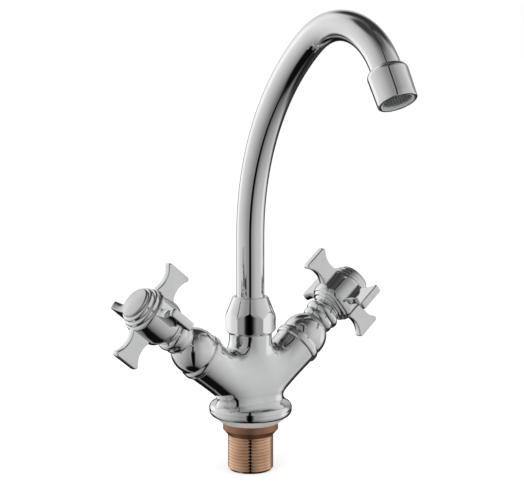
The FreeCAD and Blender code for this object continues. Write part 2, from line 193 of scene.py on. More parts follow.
def softened(start, steps, soft, closed, pitch=0.04, gap=3.0):
    """Profile with every corner rounded, as (points, outward normals), thinned where it is flat."""
    points = resampled(flatten(start, steps), pitch, closed)
    reach = int(4 * soft / pitch) + 1
    weights = np.exp(-0.5 * (np.arange(-reach, reach + 1) * pitch / soft) ** 2)
    weights /= weights.sum()
    count = len(points)
    if closed:
        padded = points[np.arange(-reach, count + reach) % count]
    else:
        mirror = np.array([-1.0, 1.0])
        padded = np.vstack([points[reach:0:-1] * mirror, points, points[-2:-reach - 2:-1] * mirror])
    smooth = np.column_stack([np.convolve(padded[:, k], weights, "valid") for k in (0, 1)])
    if closed:
        tangent = np.roll(smooth, -1, axis=0) - np.roll(smooth, 1, axis=0)
        nxt = np.roll(smooth, -1, axis=0)
        area = np.sum(smooth[:, 0] * nxt[:, 1] - nxt[:, 0] * smooth[:, 1])
    else:
        smooth[0, 0] = smooth[-1, 0] = 0.0
        tangent = np.gradient(smooth, axis=0)
        tangent[0] = (1, 0) if tangent[0, 0] > 0 else (-1, 0)
        tangent[-1] = (-1, 0) if tangent[-1, 0] < 0 else (1, 0)
        area = np.sum(smooth[:-1, 0] * smooth[1:, 1] - smooth[1:, 0] * smooth[:-1, 1])
    tangent /= np.linalg.norm(tangent, axis=1)[:, None]
    side = 1.0 if area > 0 else -1.0
    normal = np.column_stack([tangent[:, 1], -tangent[:, 0]]) * side
    heading = np.unwrap(np.arctan2(tangent[:, 1], tangent[:, 0]))
    keep = [0]
    for k in range(1, count):
        turned_by = abs(heading[k] - heading[keep[-1]])
        gone = (k - keep[-1]) * pitch
        coming = abs(heading[min(k + 1, count - 1)] - heading[k]) > 1e-4
        if turned_by > math.radians(7) or gone > gap or (coming and gone > 0.5 and turned_by < 1e-4):
            keep.append(k)
    if not closed and keep[-1] != count - 1:
        keep.append(count - 1)
    return smooth[keep], normal[keep], side


def revolved(points, normals, side, closed, segments):
    """Vertices, faces and vertex normals of a lathe about Z."""
    angles = 2 * math.pi * np.arange(segments) / segments
    verts, norms, rows = [], [], []
    for (r, z), (nr, nz) in zip(points, normals):
        if r < 1e-6:
            rows.append([len(verts)])
            verts.append((0, 0, z))
            norms.append((0, 0, nz))
            continue
        rows.append(list(range(len(verts), len(verts) + segments)))
        for a in angles:
            verts.append((r * math.cos(a), r * math.sin(a), z))
            norms.append((nr * math.cos(a), nr * math.sin(a), nz))
    faces = []
    pairs = list(zip(rows, rows[1:] + rows[:1])) if closed else list(zip(rows, rows[1:]))
    for low, high in pairs:
        for k in range(segments):
            j = (k + 1) % segments
            if len(low) == 1 and len(high) == 1:
                continue
            if len(low) == 1:
                face = (low[0], high[j], high[k])
            elif len(high) == 1:
                face = (low[k], low[j], high[0])
            else:
                face = (low[k], low[j], high[j], high[k])
            faces.append(face if side > 0 else face[::-1])
    return np.array(verts, float), faces, np.array(norms, float)


def lathe(start, *steps, soft=0.12, segments=128):
    """Shell of revolution from an outline of (radius, height) steps, closed if it is off the axis."""
    closed = start[0] > 1e-6
    points, normals, side = softened(start, steps, soft, closed)
    return revolved(points, normals, side, closed, segments)


def joined(*shells):
    """Several shells as one."""
    verts, faces, norms = [], [], []
    base = 0
    for v, f, n in shells:
        verts.append(v)
        norms.append(n)
        faces += [tuple(base + k for k in face) for face in f]
        base += len(v)
    return np.vstack(verts), faces, np.vstack(norms)


def placed(shell, matrix):
    """Shell moved by a matrix."""
    verts, faces, norms = shell
    rot = np.array(matrix.to_3x3())
    move = np.array(matrix.translation)
    return verts @ rot.T + move, faces, norms @ rot.T


def valve_place(side):
    """Stands a shell drawn along Z, in millimetres, on one side's valve axis."""
    return Matrix.Translation((0, 0, VALVE_ORIGIN_Z)) @ Matrix.Rotation(
        math.radians(side * (90 - VALVE_TILT)), 4, "Y")


def smooth_mesh(mesh):
    """Shades every face smooth."""
    mesh.polygons.foreach_set("use_smooth", [True] * len(mesh.polygons))


def add_piece(mesh, slot, body, nodes):
    """Object from a mesh in metres. It rides on a body and stands for the named nodes."""
    mesh.materials.append(LOOKS[slot])
    thing = bpy.data.objects.new(mesh.name, mesh)
    bpy.context.scene.collection.objects.link(thing)
    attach(thing, body)
    if nodes:
        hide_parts(*nodes)


def mesh_from(verts, faces):
    """Editable mesh, in millimetres."""
    mesh = bmesh.new()
    made = [mesh.verts.new(v) for v in verts]
    for face in faces:
        mesh.faces.new([made[k] for k in face])
    return mesh


def shell_piece(name, shell, slot, body, *nodes):
    """Piece from a shell in millimetres."""
    verts, faces, norms = shell
    mesh = bpy.data.meshes.new(name)
    mesh.from_pydata((verts * MM).tolist(), [], [list(f) for f in faces])
    mesh.update()
    smooth_mesh(mesh)
    mesh.normals_split_custom_set_from_vertices(norms.tolist())
    add_piece(mesh, slot, body, nodes)


# -------------------- implicit surfaces
def surface_net(field, low, high, pitch):
    """Quads over the zero level of a field, moved exactly on to it, with its normals."""
    axes = [np.arange(a, b + pitch, pitch) for a, b in zip(low, high)]
    grid = np.stack(np.meshgrid(*axes, indexing="ij"), -1)
    value = field(grid.reshape(-1, 3)).reshape(grid.shape[:3])
    inside = value < 0
    cells = tuple(n - 1 for n in value.shape)
    total = np.zeros(cells + (3,))
    hits = np.zeros(cells)

    def corner(array, offset):
        return array[tuple(slice(o, o + n) for o, n in zip(offset, cells))]

    for axis in range(3):
        others = [a for a in range(3) if a != axis]
        for u in (0, 1):
            for v in (0, 1):
                start = [0, 0, 0]
                start[others[0]], start[others[1]] = u, v
                end = list(start)
                end[axis] = 1
                f0, f1 = corner(value, start), corner(value, end)
                cross = corner(inside, start) != corner(inside, end)
                share = np.where(cross, f0 / np.where(cross, f0 - f1, 1.0), 0.0)
                at = corner(grid, start) + share[..., None] * (corner(grid, end) - corner(grid, start))
                total += np.where(cross[..., None], at, 0.0)
                hits += cross
    active = hits > 0
    number = np.full(cells, -1)
    number[active] = np.arange(active.sum())
    verts = total[active] / hits[active][:, None]
    faces = []
    for axis in range(3):
        b, c = [(axis + 1) % 3, (axis + 2) % 3]
        lo = [slice(1, n) for n in cells]
        lo[axis] = slice(0, cells[axis])
        hi = list(lo)
        hi[axis] = slice(1, cells[axis] + 1)
        here, there = inside[tuple(lo)], inside[tuple(hi)]
        for leaving in (True, False):
            where = np.argwhere((here & ~there) if leaving else (~here & there))
            for lift in (b, c):
                where[:, lift] += 1
            quad = []
            for db, dc in ((-1, -1), (0, -1), (0, 0), (-1, 0)):
                cell = where.copy()
                cell[:, b] += db
                cell[:, c] += dc
                quad.append(number[tuple(cell.T)])
            quad = np.array(quad).T
            faces += (quad if leaving else quad[:, ::-1]).tolist()
    for _ in range(6):                          # Newton steps
        slope = gradient(field, verts)
        verts = verts - (field(verts) / np.maximum((slope ** 2).sum(1), 0.05))[:, None] * slope
    return verts, faces, unit(gradient(field, verts))


def gradient(field, points, step=0.02):
    """Slope of a field at each point."""
    parts = []
    for axis in range(3):
        shift = np.zeros(3)
        shift[axis] = step
        parts.append((field(points + shift) - field(points - shift)) / (2 * step))
    return np.stack(parts, -1)


def unit(vectors):
    """Vectors scaled to length one."""
    return vectors / np.maximum(np.linalg.norm(vectors, axis=-1, keepdims=True), 1e-12)


# -------------------- mixer body
FLANGE_DOME = ((24.4, 11.6), ((21.0, 12.9), (BOSS_R, FLANGE_TOP_Z)))
DOME_PROFILE = flatten(FLANGE_DOME[0], [FLANGE_DOME[1], (0, FLANGE_TOP_Z)], 0.2)[::-1]
VALVE_AXES = [np.array([side * math.cos(math.radians(VALVE_TILT)), 0,
                        math.sin(math.radians(VALVE_TILT))]) for side in (-1, 1)]


def neck_field(points):
    """Distance outside the neck."""
    return np.hypot(points[:, 0], points[:, 1]) - NECK_R


def arm_field(points, axis):
    """Distance outside one arm, which widens a little towards its end."""
    out = points - np.array([0, 0, VALVE_ORIGIN_Z])
    along = out @ axis
    away = np.linalg.norm(out - along[:, None] * axis, axis=1)
    radius = np.interp(along, ARM_WIDENS, [ARM_R, ARM_END_R])
    return away - radius


def soft_union(first, second, reach):
    """Union of two fields with a rounded corner. The reach is how far the rounding goes."""
    near = np.maximum(reach - np.abs(first - second), 0) / reach
    return np.minimum(first, second) - near * near * reach / 4


def webbed(first, second, first_slope, second_slope, sideways):
    """Union that rounds a crotch, fills the valley beside it more, and adds nothing where the
    two surfaces run flush."""
    turn = np.sqrt(np.clip((1.0 - (first_slope * second_slope).sum(1)) / 2, 0.0, 1.0))
    fill = np.clip(np.abs(sideways) / WEB_AT_Y, 0, 1) ** 2
    reach = (CROTCH_BLEND + (WEB_BLEND - CROTCH_BLEND) * fill) * turn
    return soft_union(first, second, np.maximum(reach, 1e-3))


def body_field(points):
    """Neck and two arms. The arms run on past the neck's foot and cross there."""
    level = neck_field(points) + np.clip(VALVE_ORIGIN_Z + NECK_FOOT - points[:, 2], 0, None)
    slope = unit(gradient(neck_field, points))
    arms = []
    for axis in VALVE_AXES:
        def arm(at):
            return arm_field(at, axis)
        away, arm_slope = arm(points), unit(gradient(arm, points))
        arms.append((away, arm_slope))
        level = webbed(level, away, slope, arm_slope, points[:, 1])
    (hot, hot_slope), (cold, cold_slope) = arms
    turn = np.sqrt(np.clip((1.0 - (hot_slope * cold_slope).sum(1)) / 2, 0.0, 1.0))
    low = np.clip((VALVE_ORIGIN_Z + NOTCH_REACH - points[:, 2]) / NOTCH_FADE, 0, 1)
    crossed = soft_union(hot, cold, np.maximum(NOTCH_BLEND * turn * low, 1e-3))
    return np.minimum(level, crossed)


def over_dome(point):
    """Height above the flange's domed top."""
    return point.z - np.interp(point.xy.length, DOME_PROFILE[:, 0], DOME_PROFILE[:, 1])


def trim_to_dome(mesh):
    """Cuts the mesh along the flange's domed top and returns the cut edge."""
    height = {vert: over_dome(vert.co) for vert in mesh.verts}
    on_cut = set()
    for edge in [e for e in mesh.edges if height[e.verts[0]] * height[e.verts[1]] < 0]:
        first, second = edge.verts
        share = height[first] / (height[first] - height[second])
        made = bmesh.utils.edge_split(edge, first, share)[1]
        made.co.z -= over_dome(made.co)
        on_cut.add(made)
    for face in list(mesh.faces):
        ends = [vert for vert in face.verts if vert in on_cut]
        if len(ends) == 2:
            bmesh.utils.face_split(face, ends[0], ends[1])
    below = [v for v in mesh.verts if v not in on_cut and height[v] < 0]
    bmesh.ops.delete(mesh, geom=below, context="VERTS")
    return [e for e in mesh.edges if e.is_boundary and e.verts[0] in on_cut and e.verts[1] in on_cut]


def bore_wall(mesh, place, profile, flat=None, segments=72):
    """Wall of a turned bore from its mouth inwards. Returns the edges of its two ends."""
    rows = []
    for r, z in profile:
        count = segments if r > 0 else 1
        rows.append([mesh.verts.new(place @ Vector((r * math.cos(2 * math.pi * k / segments),
                                                    r * math.sin(2 * math.pi * k / segments), z)))
                     for k in range(count)])
    for upper, lower in zip(rows, rows[1:]):
        for k in range(segments):
            j = (k + 1) % segments
            ring = [upper[k], upper[j]] + ([lower[0]] if len(lower) == 1 else [lower[j], lower[k]])
            face = mesh.faces.new(ring)
            if flat:
                face[flat] = 1
    mesh.edges.ensure_lookup_table()
    return [[mesh.edges.get((row[k], row[(k + 1) % segments])) for k in range(segments)]
            for row in (rows[0], rows[-1]) if len(row) > 1]


def body_shell():
    """Cast body: blended outside, cut flat at its three open ends and to the flange's dome below,
    with its bores."""
    verts, faces, _ = surface_net(body_field, *BODY_BOX, BODY_PITCH)
    mesh = mesh_from(verts, faces)
    flat = mesh.faces.layers.int.new("flat")
    neck = [(12.0, NECK_TOP_Z), (12.0, 65.0), (9.6, 65.0), (9.6, 46.5), (0, 46.5)]
    socket_r = SHANK_TOP_R + FIT
    socket = [(BOSS_R, FLANGE_TOP_Z), (BOSS_R, FLANGE_FLOOR_Z), (socket_r, FLANGE_FLOOR_Z),
              (socket_r, 12.4), (0, 12.4)]
    bore = [(9.5, ARM_END_ALONG), (9.5, 39.0), (10.0, 39.0), (10.0, 31.0), (9.5, 31.0), (9.5, 26.0),
            (0, 26.0)]
    ends = [(Matrix.Identity(4), neck, 1), (Matrix.Identity(4), socket, -1)]
    ends += [(valve_place(side), bore, 1) for side in (-1, 1)]
    for place, profile, way in ends:
        at = place @ Vector((0, 0, profile[0][1]))
        out = place.to_3x3() @ Vector((0, 0, way))
        if way > 0:
            cut = bmesh.ops.bisect_plane(mesh, geom=mesh.verts[:] + mesh.edges[:] + mesh.faces[:],
                                         plane_co=at, plane_no=out, clear_outer=True, dist=1e-5)
            rim = [e for e in cut["geom_cut"] if isinstance(e, bmesh.types.BMEdge)]
        else:
            rim = trim_to_dome(mesh)
        hole = bore_wall(mesh, place, profile, flat)[0]
        filled = bmesh.ops.triangle_fill(mesh, use_beauty=True, edges=rim + hole, normal=out)
        for thing in filled["geom"]:
            if isinstance(thing, bmesh.types.BMFace):
                thing[flat] = 1
    bmesh.ops.recalc_face_normals(mesh, faces=mesh.faces[:])
    return mesh, flat


def body_piece(name, slot, body, *nodes):
    """Piece from the cast body, smooth where it is cast and flat where it is cut."""
    shaped, flat = body_shell()
    shaped.normal_update()
    corners = [(loop.vert.co[:], loop.face.normal[:], loop.face[flat])
               for face in shaped.faces for loop in face.loops]
    at = np.array([c[0] for c in corners])
    smooth = unit(gradient(body_field, at))
    plain = np.array([c[1] for c in corners])
    cut = np.array([c[2] for c in corners])
    norms = np.where(cut[:, None] == 1, plain, smooth)
    mesh = bpy.data.meshes.new(name)
    shaped.to_mesh(mesh)
    shaped.free()
    mesh.transform(Matrix.Scale(MM, 4))
    smooth_mesh(mesh)
    mesh.normals_split_custom_set(norms.tolist())
    add_piece(mesh, slot, body, nodes)


# -------------------- nut, tube, thread, handle
def hex_turned(start, *steps, flats, crown, turn, soft=0.12, blend=0.3):
    """Lathe whose radius is limited by a hexagon with slightly crowned faces."""
    points, normals, side = softened(start, steps, soft, True, gap=0.3)
    beside = np.array([0.4, 0.9, 1.5, 2.2, 3, 4, 5.5, 8, 12])
    near_corner = np.concatenate([-beside[::-1], [0], beside, [18, 24, 30]])
    angles = np.radians(np.unique(np.concatenate([(turn + 60 * k + near_corner) % 360 for k in range(6)])))
    verts, faces, norms, rows = [], [], [], []
    off = (np.degrees(angles) - turn) % 60 - 30
    lean = np.radians(off)
    back = flats / 2 - crown
    hex_r = back * np.cos(lean) + np.sqrt(crown ** 2 - (back * np.sin(lean)) ** 2)
    lean = lean - np.arcsin(hex_r * np.sin(lean) / crown)
    for (r, z), (nr, nz) in zip(points, normals):
        near = np.maximum(blend - np.abs(r - hex_r), 0) / blend
        radius = np.minimum(r, hex_r) - near * near * blend / 4
        hex_share = np.where(r < hex_r, near / 2, 1 - near / 2)
        rows.append(list(range(len(verts), len(verts) + len(angles))))
        for a, rad, share, tip in zip(angles, radius, hex_share, lean):
            across, over = math.cos(a), math.sin(a)
            verts.append((rad * across, rad * over, z))
            if nr > 0.05:
                around = -share * math.tan(tip)
                up = (1 - share) * nz / nr
                out = 1.0
            else:
                around, up, out = 0.0, nz, nr
            norms.append((out * across - around * over, out * over + around * across, up))
    count = len(angles)
    for low, high in zip(rows, rows[1:] + rows[:1]):
        for k in range(count):
            j = (k + 1) % count
            face = (low[k], low[j], high[j], high[k])
            faces.append(face if side > 0 else face[::-1])
    return np.array(verts), faces, unit(np.array(norms))


def spout_line(step=1.0):
    """Points and headings down the middle of the swan neck, from the nut to the outlet."""
    lean, tilt = math.radians(LONG_BEND_TURN), math.radians(OUTLET_TILT)
    knots = np.cumsum([0, BEND_START_Z - TUBE_START_Z, LONG_BEND_R * lean,
                       TOP_BEND_R * (tilt - lean), OUTLET_RUN])
    fine = np.arange(0, knots[-1], LINE_STEP)
    heading = np.interp(fine, knots, [0, 0, lean, tilt, tilt])
    reach = int(3 * BEND_EASE / LINE_STEP)
    weights = np.exp(-0.5 * (np.arange(-reach, reach + 1) * LINE_STEP / BEND_EASE) ** 2)
    heading = np.convolve(np.pad(heading, reach, mode="edge"), weights / weights.sum(), "valid")
    y = -np.concatenate([[0], np.cumsum(np.sin(heading[:-1]) * LINE_STEP)])
    z = TUBE_START_Z + np.concatenate([[0], np.cumsum(np.cos(heading[:-1]) * LINE_STEP)])
    pick = np.unique(np.concatenate([np.arange(0, len(fine), int(step / LINE_STEP)), [len(fine) - 1]]))
    return y[pick], z[pick], heading[pick], fine[pick], knots[-1]


def spout_shell(segments=96):
    """Bent tube with its wall, open at both ends."""
    y, z, heading, run, total = spout_line()
    keep = run <= total - TUBE_TUCK
    y, z, heading = y[keep], z[keep], heading[keep]
    angles = 2 * math.pi * np.arange(segments) / segments
    verts, faces, norms, rows = [], [], [], []

    def add_row(k, radius, way):
        rows.append(list(range(len(verts), len(verts) + segments)))
        for a in angles:
            across, over = math.cos(a), math.sin(a)
            lift = np.array([across, -over * math.cos(heading[k]), -over * math.sin(heading[k])])
            verts.append(np.array([0, y[k], z[k]]) + radius * lift)
            norms.append(way * lift)

    count = len(y)
    for k in range(count):
        add_row(k, TUBE_R, 1)
    for k in range(count - 1, -1, -1):
        add_row(k, TUBE_BORE_R, -1)
    for low, high in zip(rows, rows[1:] + rows[:1]):
        for k in range(segments):
            j = (k + 1) % segments
            faces.append((low[k], high[k], high[j], low[j]))
    return np.array(verts), faces, np.array(norms)


def outlet_place():
    """Stands a shell drawn along Z on the outlet, its height counted back up the tube."""
    lean, tilt = math.radians(LONG_BEND_TURN), math.radians(OUTLET_TILT)
    mid_y = -LONG_BEND_R + (LONG_BEND_R - TOP_BEND_R) * math.cos(lean)
    mid_z = BEND_START_Z + (LONG_BEND_R - TOP_BEND_R) * math.sin(lean)
    end_y = mid_y + TOP_BEND_R * math.cos(tilt) - OUTLET_RUN * math.sin(tilt)
    end_z = mid_z + TOP_BEND_R * math.sin(tilt) + OUTLET_RUN * math.cos(tilt)
    return Matrix.Translation((0, end_y, end_z)) @ Matrix.Rotation(tilt - math.pi, 4, "X")


def fin_shell(turn):
    """One arm of the cross handle: two flat faces, and a crowned edge filleted to them."""
    low, high = FIN_MID - FIN_TIP_HALF, FIN_MID + FIN_TIP_HALF
    root_low, root_high = FIN_MID - FIN_ROOT_HALF, FIN_MID + FIN_ROOT_HALF
    slack = FIN_CORNER * (1 - math.sqrt(0.5))
    shoulder = FIN_TIP_R - FIN_CORNER - FIN_SHOULDER
    bend = FIN_TUCK * (1 - math.sqrt(0.5))
    points, normals, side = softened(
        (FIN_ROOT_R + FIN_TUCK, root_low),
        [(FIN_NECK_R, root_low), ((FIN_WAIST_R, FIN_MID - FIN_WAIST_HALF), (shoulder, low + FIN_FLARE)),
         ((FIN_TIP_R - slack, low + slack), (FIN_TIP_R, low + FIN_CORNER)), (FIN_TIP_R, high - FIN_CORNER),
         ((FIN_TIP_R - slack, high - slack), (shoulder, high - FIN_FLARE)),
         ((FIN_WAIST_R, FIN_MID + FIN_WAIST_HALF), (FIN_NECK_R, root_high)),
         (FIN_ROOT_R + FIN_TUCK, root_high),
         ((FIN_ROOT_R + bend, root_high - bend), (FIN_ROOT_R, root_high - FIN_TUCK)),
         (FIN_ROOT_R, root_low + FIN_TUCK),
         ((FIN_ROOT_R + bend, root_low + bend), (FIN_ROOT_R + FIN_TUCK, root_low))],
        0.15, True)
    count = len(points)
    lean = math.radians(FIN_CROWN_TURN)
    crown_r = FIN_CROWN_HALF / math.sin(lean)
    rim_r = (FIN_THICK / 2 - FIN_CROWN_HALF) / (1 - math.sin(lean))
    verts, faces, norms, rows = [], [], [], []
    for degree in range(-90, 91, 10):
        swing = math.radians(degree)
        way = 1 if degree > 0 else -1
        if abs(degree) <= FIN_CROWN_TURN:
            inset, out = crown_r * (1 - math.cos(swing)), crown_r * math.sin(swing)
        else:
            inset = crown_r * (1 - math.cos(lean)) + rim_r * (math.cos(lean) - math.cos(swing))
            out = way * (FIN_THICK / 2 - rim_r) + rim_r * math.sin(swing)
        rows.append(list(range(len(verts), len(verts) + count)))
        for (r, z), (nr, nz) in zip(points, normals):
            verts.append((r - nr * inset, out, z - nz * inset))
            norms.append((nr * math.cos(swing), math.sin(swing), nz * math.cos(swing)))
    for low_row, high_row in zip(rows, rows[1:]):
        for k in range(count):
            j = (k + 1) % count
            face = (low_row[k], high_row[k], high_row[j], low_row[j])
            faces.append(face if side > 0 else face[::-1])
    faces.append(tuple(rows[0]) if side > 0 else tuple(rows[0][::-1]))
    faces.append(tuple(rows[-1][::-1]) if side > 0 else tuple(rows[-1]))
    shell = (np.array(verts), faces, np.array(norms))
    return placed(shell, Matrix.Rotation(math.radians(turn), 4, "Z"))


def handle_shell(turn):
    """Bell-shaped hub with four fins."""
    return joined(lathe(*HUB, soft=0.15), *[fin_shell(turn + 90 * k) for k in range(4)])


def thread_shell(segments=160):
    """Outside of the shank, its helical thread and the spigot above, open at both ends."""
    crest, root = SHANK_R, SHANK_R - THREAD_DEPTH
    turns = int((THREAD_TOP_Z - SHANK_END_Z) / THREAD_PITCH) + 3
    # one turn of the thread, as (share of the pitch, radius)
    shape = [(0.0, crest), (0.15, crest), (0.3, crest), (0.42, crest - 0.03), (0.54, (crest + root) / 2),
             (0.64, root), (0.72, root), (0.82, (crest + root) / 2), (0.94, crest - 0.03)]
    angles = 2 * math.pi * np.arange(segments) / segments
    rows = []
    for number in range(turns * len(shape)):
        lap, k = divmod(number, len(shape))
        offset, radius = shape[k]
        z = SHANK_END_Z + THREAD_PITCH * (lap - 1 + offset + angles / (2 * math.pi))
        clipped = np.clip(z, SHANK_END_Z, THREAD_TOP_Z)
        fade = np.clip((THREAD_TOP_Z - clipped) / THREAD_RUNOUT, 0, 1)
        wide = root + (radius - root) * fade + (crest - root) * (1 - fade)
        limit = SHANK_R - SHANK_CHAMFER + (clipped - SHANK_END_Z) * CHAMFER_SLOPE
        rows.append((np.minimum(wide, limit), clipped))
    collar = softened((SHANK_R, THREAD_TOP_Z + 0.05),
                      [(SHANK_R, -8.0), (15.6, -6.0), (SPIGOT_R, -4.4), (SPIGOT_R, 0), (16.7, 0),
                       (16.7, FLANGE_FLOOR_Z), (SHANK_TOP_R, FLANGE_FLOOR_Z),
                       (SHANK_TOP_R, SHANK_TOP_Z), (0, SHANK_TOP_Z)], 0.1, False)
    for r, z in collar[0][1:]:
        if r > SHANK_TOP_R - 0.5:
            rows.append((np.full(segments, r), np.full(segments, z)))
    verts = [(r[k] * math.cos(a), r[k] * math.sin(a), z[k]) for r, z in rows for k, a in enumerate(angles)]
    faces = []
    for row in range(len(rows) - 1):
        for k in range(segments):
            j = (k + 1) % segments
            a, b = row * segments, (row + 1) * segments
            faces.append((a + k, a + j, b + j, b + k))
    return verts, faces


def thread_piece(name, slot, body, *nodes):
    """Threaded shank with its two hose sockets, each drilled on up to the top as a waterway."""
    mesh = mesh_from(*thread_shell())
    bmesh.ops.remove_doubles(mesh, verts=mesh.verts, dist=1e-4)
    rims = [[], []]
    for edge in mesh.edges:
        if edge.is_boundary:
            rims[edge.verts[0].co.z > 0].append(edge)
    socket_top = SHANK_END_Z + HOSE_DEPTH
    profile = [(HOSE_R, SHANK_END_Z), (HOSE_R, socket_top), (WATERWAY_R, socket_top),
               (WATERWAY_R, SHANK_TOP_Z)]
    for side in (-1, 1):
        bottom, top = bore_wall(mesh, Matrix.Translation((side * HOSE_OFFSET, 0, 0)), profile)
        rims[0] += bottom
        rims[1] += top
    for rim, way in zip(rims, (-1, 1)):
        bmesh.ops.triangle_fill(mesh, use_beauty=True, edges=rim, normal=(0, 0, way))
    bmesh.ops.recalc_face_normals(mesh, faces=mesh.faces[:])
    shaped = bpy.data.meshes.new(name)
    mesh.to_mesh(shaped)
    mesh.free()
    shaped.transform(Matrix.Scale(MM, 4))
    smooth_mesh(shaped)
    shaped.set_sharp_from_angle(angle=math.radians(62))
    add_piece(shaped, slot, body, nodes)


def woven_disc(radius, pitch, wire_r, height, sides=6, margin=0.1, waves=8):
    """Plain weave of fine wire, cut to a disc. waves is the number of points per pitch."""
    shells = []
    count = int(radius / pitch)
    turns = 2 * math.pi * np.arange(sides) / sides
    for lane in range(-count, count + 1):
        across = lane * pitch
        half = math.sqrt(radius ** 2 - across ** 2) - margin
        run = np.linspace(-half, half, max(4, int(waves * half / pitch)))
        for way in (0, 1):
            lift = height + wire_r * np.cos(np.pi * run / pitch) * (1 if (lane + way) % 2 else -1)
            verts, norms = [], []
            for x, z in zip(run, lift):
                for t in turns:
                    beside, over = math.cos(t), math.sin(t)
                    spot = (x, across + wire_r * beside, z + wire_r * over)
                    verts.append(spot if way else (spot[1], spot[0], spot[2]))
                    norms.append((0.0, beside, over) if way else (beside, 0.0, over))
            faces = []
            for k in range(len(run) - 1):
                for t in range(sides):
                    u = (t + 1) % sides
                    face = (k * sides + t, (k + 1) * sides + t, (k + 1) * sides + u, k * sides + u)
                    faces.append(face[::-1] if way else face)
            last = (len(run) - 1) * sides
            ends = [tuple(range(sides)), tuple(range(last, last + sides))[::-1]]
            faces += [end[::-1] for end in ends] if way else ends
            shells.append((np.array(verts), faces, np.array(norms)))
    return joined(*shells)


# -------------------- materials
TONE_STOPS = (0.32, 0.68)        # where in the noise the two tones are reached
CAST_FADE = 0.0004               # metres
BUMP_DEPTH = 0.0002              # metres


def wire(tree, kind, inputs=None, **settings):
    """Adds a node, sets its properties and fills its inputs with values or links."""
    node = tree.nodes.new(kind)
    for key, value in settings.items():
        setattr(node, key, value)
    for key, value in (inputs or {}).items():
        if isinstance(value, bpy.types.NodeSocket):
            tree.links.new(value, node.inputs[key])
        else:
            node.inputs[key].default_value = value
    return node


def ramp(tree, factor, stops):
    """Colour ramp from (position, grey or colour) stops."""
    node = wire(tree, "ShaderNodeValToRGB", {"Fac": factor})
    points = node.color_ramp.elements
    while len(points) > 1:
        points.remove(points[-1])
    for number, (position, tone) in enumerate(stops):
        point = points[0] if number == 0 else points.new(position)
        point.position = position
        point.color = (tone, tone, tone, 1) if isinstance(tone, float) else tuple(tone) + (1,)
    return node.outputs["Color"]


def noise(tree, place, scale, detail):
    """Noise value at a place."""
    inputs = {"Vector": place, "Scale": scale, "Detail": detail}
    return wire(tree, "ShaderNodeTexNoise", inputs).outputs["Fac"]


def surface(name, tones, rough, metallic=0.0, patch=70.0, grain=900.0, bump=0.02, bump_scale=260.0,
            coat=0.0, cast=None):
    """Material whose colour drifts between two tones and whose roughness varies with a fine grain.
    patch, grain and bump_scale are noise scales per metre. Above a height in metres,
    cast=(height, tones, roughness), the metal is left as cast."""
    material = bpy.data.materials.new(name)
    material.use_nodes = True
    tree = material.node_tree
    shader = tree.nodes["Principled BSDF"]
    place = wire(tree, "ShaderNodeTexCoord").outputs["Object"]
    drift = noise(tree, place, patch, 3.0)
    fine = noise(tree, place, grain, 2.0)
    relief = noise(tree, place, bump_scale, 1.0)
    tint = ramp(tree, drift, zip(TONE_STOPS, tones))
    gloss = wire(tree, "ShaderNodeMapRange", {"Value": fine, "From Min": 0.3, "From Max": 0.7,
                                              "To Min": rough[0], "To Max": rough[1]}).outputs["Result"]
    if cast:          # in a mix node, 0 is the factor, 2 and 3 take numbers, and 6 and 7 take colours
        height, dull, matt = cast
        rise = wire(tree, "ShaderNodeSeparateXYZ", {"Vector": place}).outputs["Z"]
        above = wire(tree, "ShaderNodeMapRange", {"Value": rise, "From Min": height - CAST_FADE,
                                                  "From Max": height + CAST_FADE}).outputs["Result"]
        other = ramp(tree, drift, zip(TONE_STOPS, dull))
        tint = wire(tree, "ShaderNodeMix", {0: above, 6: tint, 7: other}, data_type="RGBA").outputs[2]
        gloss = wire(tree, "ShaderNodeMix", {0: above, 2: gloss, 3: matt}).outputs[0]
    tree.links.new(tint, shader.inputs["Base Color"])
    tree.links.new(gloss, shader.inputs["Roughness"])
    raised = wire(tree, "ShaderNodeBump", {"Height": relief, "Strength": bump, "Distance": BUMP_DEPTH})
    tree.links.new(raised.outputs["Normal"], shader.inputs["Normal"])
    shader.inputs["Metallic"].default_value = metallic
    shader.inputs["Coat Weight"].default_value = coat
    return material


